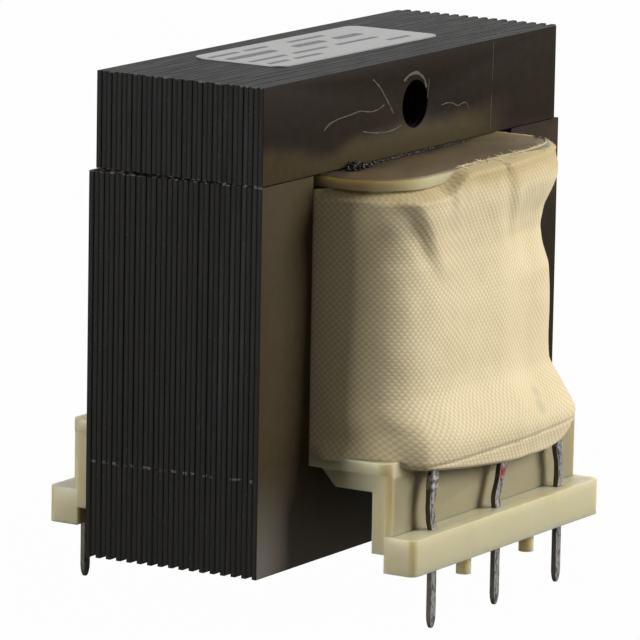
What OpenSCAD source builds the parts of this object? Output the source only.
// Board-mounted mains transformer on an interleaved EI core.
// X runs along the core's width, Y through the stack of laminations and Z up.
// The origin lies in the board's top surface, midway between the two rows of terminals.

/* [Core] */
// Width of each outer leg
leg_w = 7.9375; // [6:0.0625:10]
// Width of the centre leg, which carries the coil
centre_leg_w = 15.875; // [12:0.125:20]
// Width of each window between the legs
window_w = 7.9375; // [7:0.0625:10]
// Height of each window
window_h = 23.8125; // [18:0.0625:30]
// Height of the yokes above and below the windows
yoke_h = 7.9375; // [6:0.0625:10]
// Number of laminations in the stack
lam_count = 33; // [21:2:41]
// Thickness of one lamination
lam_t = 0.47; // [0.35:0.01:0.65]
// Oxide and varnish between two laminations
lam_gap = 0.011; // [0.005:0.001:0.03]
// Butt joint between an E and its I
joint_gap = 0.03; // [0.01:0.01:0.08]
// How much shorter an I is than the core; its left end lies flush with the E's
i_short = 0.71; // [0.2:0.01:1.2]
// Diameter of the hole in the middle of each yoke
yoke_hole_d = 3.97; // [2.5:0.01:5]

/* [Bobbin] */
// Height of the standoff pegs, which hold the core off the board
standoff_h = 1.6; // [0.8:0.1:3]
// Diameter of the standoff pegs
standoff_d = 1.25; // [0.8:0.05:2]
// Clearance between the centre leg and the tube of the bobbin
bobbin_fit = 0.2; // [0.1:0.05:0.4]
// Wall of the tube
tube_wall = 0.9; // [0.6:0.1:1.3]
// Radius of the tube's outer corners
tube_corner_r = 0.8; // [0.4:0.1:1.2]
// Clearance between each flange and its yoke
end_gap = 0.1; // [0.05:0.05:0.3]
// Thickness of the two flanges
flange_t = 1; // [0.7:0.1:1.5]
// Clearance between the lower flange and the outer legs
flange_side_gap = 0.4; // [0.2:0.05:0.6]
// Radius of the lower flange's corners
lower_corner_r = 1.1; // [0.6:0.1:2]
// Step from the end of the windows in to the end of the upper flange
upper_inset_x = 1.775; // [1.4:0.025:1.775]
// Step from the depth of the windows in to the front and rear of the upper flange
upper_inset_y = 1.025; // [0.8:0.025:1.5]
// Radius of the upper flange's corners
upper_corner_r = 5; // [4:0.1:6]
// Depth of the ribs below the lower flange, at their wall end
rib_h = 1.5; // [0.8:0.05:2]
// Thickness of the ribs
rib_t = 0.6; // [0.4:0.1:0.6]
// Distance from the core to where the ribs start
rib_gap = 0.9; // [0.4:0.1:1.5]
// How far the ribs slope before they run level
rib_slope = 1.4; // [1:0.1:3]
// Thickness of the terminal walls
wall_t = 1.7; // [1.4:0.1:2.1]
// Distance from a row of terminals in to the outer face of its wall
wall_setback = 1.05; // [0.95:0.05:1.3]
// Height of the lower edge of each wall over the foot of its rail
wall_lift = 1.5; // [0.6:0.1:2]
// Radius of the walls' outer corners
wall_corner_r = 0.6; // [0.3:0.1:1.2]
// Height of the terminal rails
rail_h = 3; // [2.2:0.1:4]
// Part of a rail that lies outside its row of terminals
rail_front = 1.3; // [1:0.1:2]
// Part of a rail that lies inside its row of terminals
rail_back = 1.6; // [1.4:0.1:2]
// Step from the end of the windows in to the end of a rail and of its wall
rail_inset = 0.8; // [0.4:0.1:2]
// Radius of the rails' outer corners
rail_corner_r = 0.7; // [0.4:0.1:1.2]

/* [Terminals] */
// Distance from the depth of the windows out to a row of terminals
row_lip = 0.635; // [0.5:0.005:0.9]
// Spacing of the three secondary terminals, at the front
secondary_pitch = 10.16; // [8:0.01:12]
// Spacing of the two primary terminals, at the rear
primary_pitch = 22.86; // [16:0.01:25]
// Width of a terminal
pin_w = 0.84; // [0.6:0.02:1.1]
// Thickness of a terminal
pin_t = 0.44; // [0.3:0.02:0.6]
// Clearance round a terminal in its rail
pin_fit = 0.02; // [0.01:0.01:0.05]
// Length of a terminal below the board's top surface
pin_drop = 3.6; // [2.5:0.1:5]
// Length of the tapered point
pin_point = 1; // [0.5:0.1:1.5]
// Width left at the end of the point
pin_tip = 0.22; // [0.1:0.02:0.3]
// How far the most bent stub leans to the side at its top
stub_bend = 0.75; // [0:0.05:0.9]
// Clearance between the soldered stubs and the wrap's hem
stub_gap = 0.32; // [0.3:0.01:1]

/* [Coil] */
// Clearance between the layers of the coil
layer_gap = 0.05; // [0.02:0.01:0.1]
// Clearance between the layers and the upper flange
layer_end_gap = 0.15; // [0.05:0.05:0.3]
// Height of the channel below the layers, where the primary's leads run out
lead_channel = 0.5; // [0.4:0.05:0.8]
// Share of the winding depth that the primary takes
primary_share = 0.6; // [0.4:0.05:0.7]
// Thickness of the insulation between primary and secondary
insulation_t = 0.35; // [0.2:0.05:0.6]
// Thickness of the cloth wrap
wrap_t = 0.9; // [0.6:0.05:1.1]
// Thickness of the wrap's hem, where a single turn hangs over the flange
hem_t = 0.45; // [0.3:0.05:0.5]
// How far the hem hangs below the top of the lower flange
hem_drop = 2; // [1.2:0.1:2.1]
// Clearance between the wrap and the outer legs
wrap_side_gap = 0.43; // [0.35:0.01:0.6]
// Air left under the loose wrap
wrap_slack = 0.5; // [0.4:0.05:0.7]
// Clearance between the edges of the wrap and the flanges
wrap_end_gap = 0.3; // [0.2:0.05:0.4]
// How far the wrap swells out where it meets its hem
wrap_flare = 2.6; // [1.8:0.1:2.6]
// Diameter of the secondary wire
secondary_wire_d = 0.5; // [0.3:0.05:0.6]
// Diameter of the primary wire
primary_wire_d = 0.3; // [0.2:0.05:0.4]
// Distance from a terminal to the lead that comes down beside it, towards the middle
lead_side = 0.9; // [0.7:0.05:1.1]
// Radius of a solder joint
solder_r = 0.62; // [0.5:0.02:0.66]
// Height of a solder joint
solder_h = 1.9; // [1.2:0.1:2.2]

/* [Label] */
// Length of the label
label_w = 24.3; // [16:0.1:30]
// Depth of the label
label_d = 8.9; // [6:0.1:12]
// Thickness of the label
label_t = 0.1; // [0.05:0.05:0.2]
// Radius of its corners
label_r = 1.1; // [0.5:0.1:2]
// Distance along X from the middle of the core to the middle of the label
label_x = -0.6; // [-3:0.1:3]
// Distance along Y from the middle of the core to the middle of the label
label_y = 1.2; // [-1.5:0.1:1.5]
// How far the label is turned
label_turn = -0.8; // [-2:0.1:2]

/* [Hidden] */
$fn = 64;
eps = 0.01;

// Core
lam_pitch = lam_t + lam_gap;
stack_h = lam_count * lam_pitch;
core_w = centre_leg_w + 2 * window_w + 2 * leg_w;
core_h = window_h + 2 * yoke_h;
core_z = standoff_h;
core_top = core_z + core_h;
window_z = core_z + yoke_h;

// Edges of the space that the windows leave for the coil
coil_x = centre_leg_w / 2 + window_w;
coil_y = stack_h / 2 + window_w;

// Bobbin
tube_x = centre_leg_w / 2 + bobbin_fit;
tube_y = stack_h / 2 + bobbin_fit;
bobbin_z = window_z + end_gap;
bobbin_top = window_z + window_h - end_gap;
flange_top = bobbin_z + flange_t;
upper_flange_z = bobbin_top - flange_t;
flange_x = coil_x - flange_side_gap;
row_y = coil_y + row_lip;
wall_y = row_y - wall_setback;
rail_x = coil_x - rail_inset;
rail_y = row_y + rail_front;
rail_top = core_z + rail_h;
rib_start = stack_h / 2 + rib_gap;

// Layers of the coil, as distances beyond the tube's outer faces
wrap_reach = window_w - bobbin_fit - tube_wall - wrap_side_gap;
layers_reach = wrap_reach - wrap_t - wrap_slack;
winding_depth = layers_reach - insulation_t - 3 * layer_gap;
primary_in = layer_gap;
primary_out = primary_in + winding_depth * primary_share;
insulation_in = primary_out + layer_gap;
insulation_out = insulation_in + insulation_t;
secondary_in = insulation_out + layer_gap;
secondary_out = layers_reach;
layer_z = flange_top + lead_channel;
layer_h = upper_flange_z - layer_end_gap - layer_z;
layer_corner = tube_x + tube_wall - tube_corner_r;

// Wrap
wrap_x = tube_x + tube_wall + wrap_reach;
wrap_y = tube_y + tube_wall + wrap_reach;
wrap_top = upper_flange_z - wrap_end_gap / 2;
wrap_side_z = flange_top + wrap_end_gap;
hem_z = flange_top - hem_drop;
wrap_columns = 56;
squareness = 5;
// Share of the wrap's height, and share of its flare that it bulges there, down its front and rear
WRAP_FOLDS = [
    [1, 0.23], [0.91, 0.19], [0.79, 0], [0.72, -0.08], [0.65, -0.06], [0.54, 0.04],
    [0.32, 0.1], [0.25, 0.08], [0.19, 0.27], [0.14, 0.58], [0.08, 0.85], [0.03, 1]
];
hem_share = 0.85;
// Where, on the way from the core's face out to the front of the wrap, the swell starts, and over
// how much of that way it grows
swell_start = 0.125;
swell_way = 0.315;
// Where, as a share of the wrap's half width, the hem starts to hang, and over how much it grows
hang_start = 0.8;
hang_way = 0.2;
// Shares of the swell that the tighter rear keeps at its hem and further up, and the share of the
// wrap's height between the two
rear_hem_share = 0.85;
rear_swell_share = 0.25;
rear_way = 0.08;
// Share of the wrap's height over which it thickens from one turn to all of them
thicken_share = 0.19;

// Terminals: the way each stub wanders along X above its rail, as shares of its height and bend
STUB_PATHS = [
    [[0, 0], [0.2, -0.4], [0.5, -0.65], [1, -0.45]],
    [[0, 0], [0.25, -0.25], [0.6, 0.45], [1, 1]],
    [[0, 0], [0.3, 0.15], [0.6, 0.05], [1, -0.55]],
    [[0, 0], [0.4, 0.25], [1, 0.15]],
    [[0, 0], [0.35, -0.25], [0.7, -0.15], [1, -0.4]]
];
TERMINAL_X = [
    -secondary_pitch, 0, secondary_pitch,
    -primary_pitch / 2, primary_pitch / 2
];
// 1 on the front row and -1 on the rear row
TERMINAL_SIDE = [1, 1, 1, -1, -1];
// How far the solder stands above the stub that it holds
solder_lift = 0.12;
solder_top = hem_z - stub_gap;
stub_top = solder_top - solder_lift;
stub_h = stub_top - rail_top;
solder_share = 0.8;
solder_offset = pin_w / 2 + 0.3;
solder_neck = 0.4;
lead_sides = 8;
// Distance from a row of terminals in to where its leads go down past the flange
lead_inset = 0.7;
lead_y = row_y - lead_inset;
// Height of the leads' run over the flange, and how deep they start in their layer
lead_lift = 0.12;
lead_depth = 0.5;
// Stretches over which a lead bends: out of its layer, over the flange's edge and down to the solder
lead_bend = 0.2;
lead_drop = 0.1;
lead_end = 0.4;

function smooth(t) = let (c = max(0, min(1, t))) c * c * (3 - 2 * c);
function sign_power(v, p) = sign(v) * pow(abs(v), p);
function unit(v) = v / norm(v);
function mix(a, b, t) = a + (b - a) * t;

// Places 2D children, drawn in X and Z, as a plate that lies in front of y = 0
module upright(thickness) {
    rotate([90, 0, 0]) linear_extrude(thickness) children();
}

module rounded_rect(half_x, half_y, r) {
    square([2 * half_x, 2 * (half_y - r)], center = true);
    square([2 * (half_x - r), 2 * half_y], center = true);
    for (sx = [-1, 1], sy = [-1, 1])
        translate([sx * (half_x - r), sy * (half_y - r)]) circle(r);
}

// A thin-walled box round the tube, between two distances from its outer faces
module coil_layer(inner, outer) {
    translate([0, 0, layer_z]) linear_extrude(layer_h) difference() {
        rounded_rect(tube_x + tube_wall + outer, tube_y + tube_wall + outer, tube_corner_r + outer);
        rounded_rect(tube_x + tube_wall + inner, tube_y + tube_wall + inner, tube_corner_r + inner);
    }
}

// A round wire swept along straight stretches, as a closed polyhedron
module wire(points, diameter) {
    last = len(points) - 1;
    function heading(i) = unit(points[min(i + 1, last)] - points[max(i - 1, 0)]);
    function ring(i) =
        let (h = heading(i), side = unit(cross(h, [1, 0.01, 0])), up = cross(side, h))
        [for (k = [0:lead_sides - 1]) let (a = 360 * k / lead_sides)
            points[i] + diameter / 2 * (cos(a) * side + sin(a) * up)];
    polyhedron(
        points = [for (i = [0:last]) each ring(i)],
        faces = concat(
            [[for (k = [0:lead_sides - 1]) k]],
            [[for (k = [lead_sides - 1:-1:0]) last * lead_sides + k]],
            [for (i = [0:last - 1], k = [0:lead_sides - 1]) let (n = (k + 1) % lead_sides)
                [i * lead_sides + k, (i + 1) * lead_sides + k,
                 (i + 1) * lead_sides + n, i * lead_sides + n]]
        )
    );
}

// Core

module e_outline() {
    difference() {
        translate([-core_w / 2, 0]) square([core_w, yoke_h + window_h]);
        for (side = [-1, 1])
            translate([side * (centre_leg_w + window_w) / 2 - window_w / 2, yoke_h])
                square([window_w, window_h + eps]);
        translate([0, yoke_h / 2]) circle(d = yoke_hole_d);
    }
}

module i_outline() {
    difference() {
        translate([-core_w / 2, joint_gap]) square([core_w - i_short, yoke_h - joint_gap]);
        translate([0, yoke_h / 2]) circle(d = yoke_hole_d);
    }
}

// Every second lamination, from the first one on, with its back on its place in the stack
module every_second(first) {
    for (k = [first:2:lam_count - 1])
        translate([0, -stack_h / 2 + lam_gap / 2 + k * lam_pitch + lam_t, 0])
            upright(lam_t) children();
}

module e_laminations_yoke_down() {
    color("#2e2a26") translate([0, 0, core_z]) every_second(0) e_outline();
}

module i_laminations_top() {
    color("#38332d") translate([0, 0, core_top - yoke_h]) every_second(0) i_outline();
}

module e_laminations_yoke_up() {
    color("#2e2a26") translate([0, 0, core_top]) mirror([0, 0, 1]) every_second(1) e_outline();
}

module i_laminations_bottom() {
    color("#38332d") translate([0, 0, core_z + yoke_h]) mirror([0, 0, 1])
        every_second(1) i_outline();
}

// Bobbin

// A bar as long as the rails, from one distance to another, with its two outer corners rounded
module bar_outline(back_y, front_y, r) {
    translate([-rail_x, back_y]) square([2 * rail_x, front_y - back_y - r]);
    translate([-rail_x + r, back_y]) square([2 * (rail_x - r), front_y - back_y]);
    for (side = [-1, 1]) translate([side * (rail_x - r), front_y - r]) circle(r);
}

// Everything outside the tube on the rear side, drawn towards +Y
module terminal_side(pin_places) {
    difference() {
        union() {
            translate([0, 0, core_z]) linear_extrude(rail_h)
                bar_outline(row_y - rail_back, rail_y, rail_corner_r);
            translate([0, 0, core_z + wall_lift])
                linear_extrude(bobbin_z - core_z - wall_lift + eps)
                    bar_outline(wall_y - wall_t, wall_y, wall_corner_r);
            for (side = [-1, 1]) translate([side * (rail_x - rib_t / 2) - rib_t / 2, 0, 0]) rib();
        }
        for (x = pin_places)
            translate([x - pin_w / 2 - pin_fit, row_y - pin_t / 2 - pin_fit, 0])
                cube([pin_w + 2 * pin_fit, pin_t + 2 * pin_fit, rail_top + eps]);
    }
    for (side = [-1, 1])
        translate([side * secondary_pitch / 2, row_y, 0]) cylinder(d = standoff_d, h = core_z + eps);
}

module rib() {
    rotate([90, 0, 90]) linear_extrude(rib_t) polygon([
        [rib_start, bobbin_z + eps],
        [rib_start, bobbin_z],
        [rib_start + rib_slope, bobbin_z - rib_h],
        [wall_y - wall_t / 2, bobbin_z - rib_h],
        [wall_y - wall_t / 2, bobbin_z + eps]
    ]);
}

module bobbin() {
    color("#cfc69c") {
        difference() {
            union() {
                translate([0, 0, bobbin_z]) linear_extrude(flange_t)
                    rounded_rect(flange_x, wall_y, lower_corner_r);
                translate([0, 0, upper_flange_z]) linear_extrude(flange_t)
                    rounded_rect(coil_x - upper_inset_x, coil_y - upper_inset_y, upper_corner_r);
                translate([0, 0, bobbin_z]) linear_extrude(bobbin_top - bobbin_z)
                    rounded_rect(tube_x + tube_wall, tube_y + tube_wall, tube_corner_r);
            }
            translate([-tube_x, -tube_y, bobbin_z - eps])
                cube([2 * tube_x, 2 * tube_y, bobbin_top - bobbin_z + 2 * eps]);
        }
        mirror([0, 1, 0]) terminal_side([for (i = [0:2]) TERMINAL_X[i]]);
        terminal_side([for (i = [3:4]) TERMINAL_X[i]]);
    }
}

// Terminals, numbered along the front row and then along the rear row

function stub_at(i, h) =
    let (p = STUB_PATHS[i], k = max([for (j = [0:len(p) - 2]) if (p[j][0] <= h) j]))
    stub_bend * mix(p[k][1], p[k + 1][1], (h - p[k][0]) / (p[k + 1][0] - p[k][0]));

module blade_outline(i) {
    path = STUB_PATHS[i];
    polygon(concat(
        [[-pin_tip / 2, -pin_drop], [pin_tip / 2, -pin_drop], [pin_w / 2, -pin_drop + pin_point]],
        [for (p = path) [stub_bend * p[1] + pin_w / 2, rail_top + stub_h * p[0]]],
        [for (j = [len(path) - 1:-1:0])
            [stub_bend * path[j][1] - pin_w / 2, rail_top + stub_h * path[j][0]]],
        [[-pin_w / 2, -pin_drop + pin_point]]
    ));
}

module blade(i) {
    side = TERMINAL_SIDE[i];
    reach = pin_w + stub_bend;
    translate([TERMINAL_X[i], -side * row_y + pin_t / 2, 0]) intersection() {
        upright(pin_t) blade_outline(i);
        translate([-reach, 0, 0]) rotate([90, 0, 90]) linear_extrude(2 * reach) polygon([
            [-pin_t / 2 - pin_tip / 4, -pin_drop], [-pin_t / 2 + pin_tip / 4, -pin_drop],
            [0, -pin_drop + pin_point], [0, stub_top], [-pin_t, stub_top],
            [-pin_t, -pin_drop + pin_point]
        ]);
    }
}

module terminal_1() { color("#9a9893") blade(0); }
module terminal_2() { color("#9a9893") blade(1); }
module terminal_3() { color("#9a9893") blade(2); }
module terminal_4() { color("#9a9893") blade(3); }
module terminal_5() { color("#9a9893") blade(4); }

// Coil

// 1 where the lead comes down on the +X side of terminal i, and -1 on the other
function lead_turn(i) = TERMINAL_X[i] > 0 ? -1 : 1;
function solder_x(i) =
    TERMINAL_X[i] + stub_at(i, solder_share) + lead_turn(i) * solder_offset;

// Middle of the layer between two distances from the tube, at a given x along its front
function layer_y(x, inner, outer) =
    let (r = tube_corner_r + (inner + outer) / 2, past = max(0, abs(x) - layer_corner))
    tube_y + tube_wall - tube_corner_r + sqrt(r * r - past * past);

// Way of the lead that comes out of a winding and goes down to the solder at terminal i
function lead_path(i, inner, outer, diameter) =
    let (
        side = -TERMINAL_SIDE[i],
        run_z = flange_top + diameter / 2 + lead_lift,
        x = TERMINAL_X[i] + lead_turn(i) * lead_side,
        start_x = sign(x) * min(abs(x), layer_corner),
        start_y = layer_y(start_x, inner, outer)
    )
    [
        [start_x, side * start_y, layer_z + lead_depth],
        [mix(start_x, x, 0.1), side * (start_y + lead_bend), run_z],
        [x, side * (lead_y - lead_bend), run_z],
        [x, side * lead_y, flange_top - lead_drop],
        [x, side * lead_y, bobbin_z - lead_drop],
        [solder_x(i), side * row_y, solder_top + lead_end],
        [solder_x(i), side * row_y, solder_top]
    ];

module primary_winding() {
    color("#8a4a2a") {
        coil_layer(primary_in, primary_out);
        for (i = [3, 4]) wire(lead_path(i, primary_in, primary_out, primary_wire_d), primary_wire_d);
    }
}

module interwinding_insulation() {
    color("#d9c27a") coil_layer(insulation_in, insulation_out);
}

module secondary_winding() {
    color("#9a5530") {
        coil_layer(secondary_in, secondary_out);
        for (i = [0:2]) wire(lead_path(i, secondary_in, secondary_out, secondary_wire_d), secondary_wire_d);
    }
}

module solder_joint(i) {
    difference() {
        translate([solder_x(i), -TERMINAL_SIDE[i] * row_y, solder_top - solder_h])
            rotate_extrude() polygon([
                [0, 0], [solder_r * 0.5, 0], [solder_r * 0.85, solder_neck],
                [solder_r, solder_h / 2], [solder_r * 0.8, solder_h - solder_neck],
                [solder_r * 0.5, solder_h], [0, solder_h]
            ]);
        blade(i);
    }
}

module solder_joint_1() { color("#b5b2aa") solder_joint(0); }
module solder_joint_2() { color("#b5b2aa") solder_joint(1); }
module solder_joint_3() { color("#b5b2aa") solder_joint(2); }
module solder_joint_4() { color("#b5b2aa") solder_joint(3); }
module solder_joint_5() { color("#b5b2aa") solder_joint(4); }

// The wrap is a closed skin: columns round a squarish oval, each with an outer and an inner line

function wrap_base(a) = [
    wrap_x * sign_power(cos(a), 2 / squareness),
    wrap_y * sign_power(sin(a), 2 / squareness)
];
function wrap_normal(a) = unit([
    sign_power(cos(a), 2 - 2 / squareness) / wrap_x,
    sign_power(sin(a), 2 - 2 / squareness) / wrap_y
]);
// Share of its swell that the wrap keeps at a point, by its side and its share of the height
function slack_at(y, risen) =
    y > 0 ? mix(rear_hem_share, rear_swell_share, smooth(risen / rear_way)) : 1;
function wrap_line(a) =
    let (
        base = wrap_base(a),
        n = wrap_normal(a),
        way = (abs(base[1]) - stack_h / 2) / window_w,
        swell = wrap_flare * smooth((way - swell_start) / swell_way)
            * mix(0.6, 1, smooth(abs(n[1]) / 0.7)),
        hang = smooth((hang_start - abs(base[0]) / wrap_x) / hang_way),
        foot = mix(wrap_side_z, hem_z, hang),
        fold_z = [for (f = WRAP_FOLDS) mix(max(foot, wrap_side_z), wrap_top, f[0])],
        outer = concat(
            [for (j = [0:len(WRAP_FOLDS) - 1])
                let (f = WRAP_FOLDS[j], p = base + n * f[1] * swell * slack_at(base[1], f[0]))
                    [p[0], p[1], fold_z[j]]],
            [let (p = base + n * hem_share * swell * slack_at(base[1], 0)) [p[0], p[1], foot]]
        ),
        inner = [for (j = [len(outer) - 1:-1:0])
            let (risen = (outer[j][2] - wrap_side_z) / (wrap_top - wrap_side_z),
                 t = mix(hem_t, wrap_t, smooth(risen / thicken_share)))
            [outer[j][0] - n[0] * t, outer[j][1] - n[1] * t, outer[j][2]]]
    )
    concat(outer, inner);

module cloth_wrap() {
    lines = [for (c = [0:wrap_columns - 1]) wrap_line(360 * (c + 0.5) / wrap_columns)];
    count = len(lines[0]);
    color("#dccb98") polyhedron(
        points = [for (l = lines) each l],
        faces = [for (c = [0:wrap_columns - 1], j = [0:count - 1])
            let (d = (c + 1) % wrap_columns, k = (j + 1) % count)
            [c * count + j, c * count + k, d * count + k, d * count + j]]
    );
}

module label() {
    color("#b9b9b7") translate([label_x, label_y, core_top]) rotate(label_turn)
        linear_extrude(label_t) rounded_rect(label_w / 2, label_d / 2, label_r);
}

e_laminations_yoke_down();
i_laminations_top();
e_laminations_yoke_up();
i_laminations_bottom();
bobbin();
primary_winding();
interwinding_insulation();
secondary_winding();
cloth_wrap();
terminal_1();
terminal_2();
terminal_3();
terminal_4();
terminal_5();
solder_joint_1();
solder_joint_2();
solder_joint_3();
solder_joint_4();
solder_joint_5();
label();
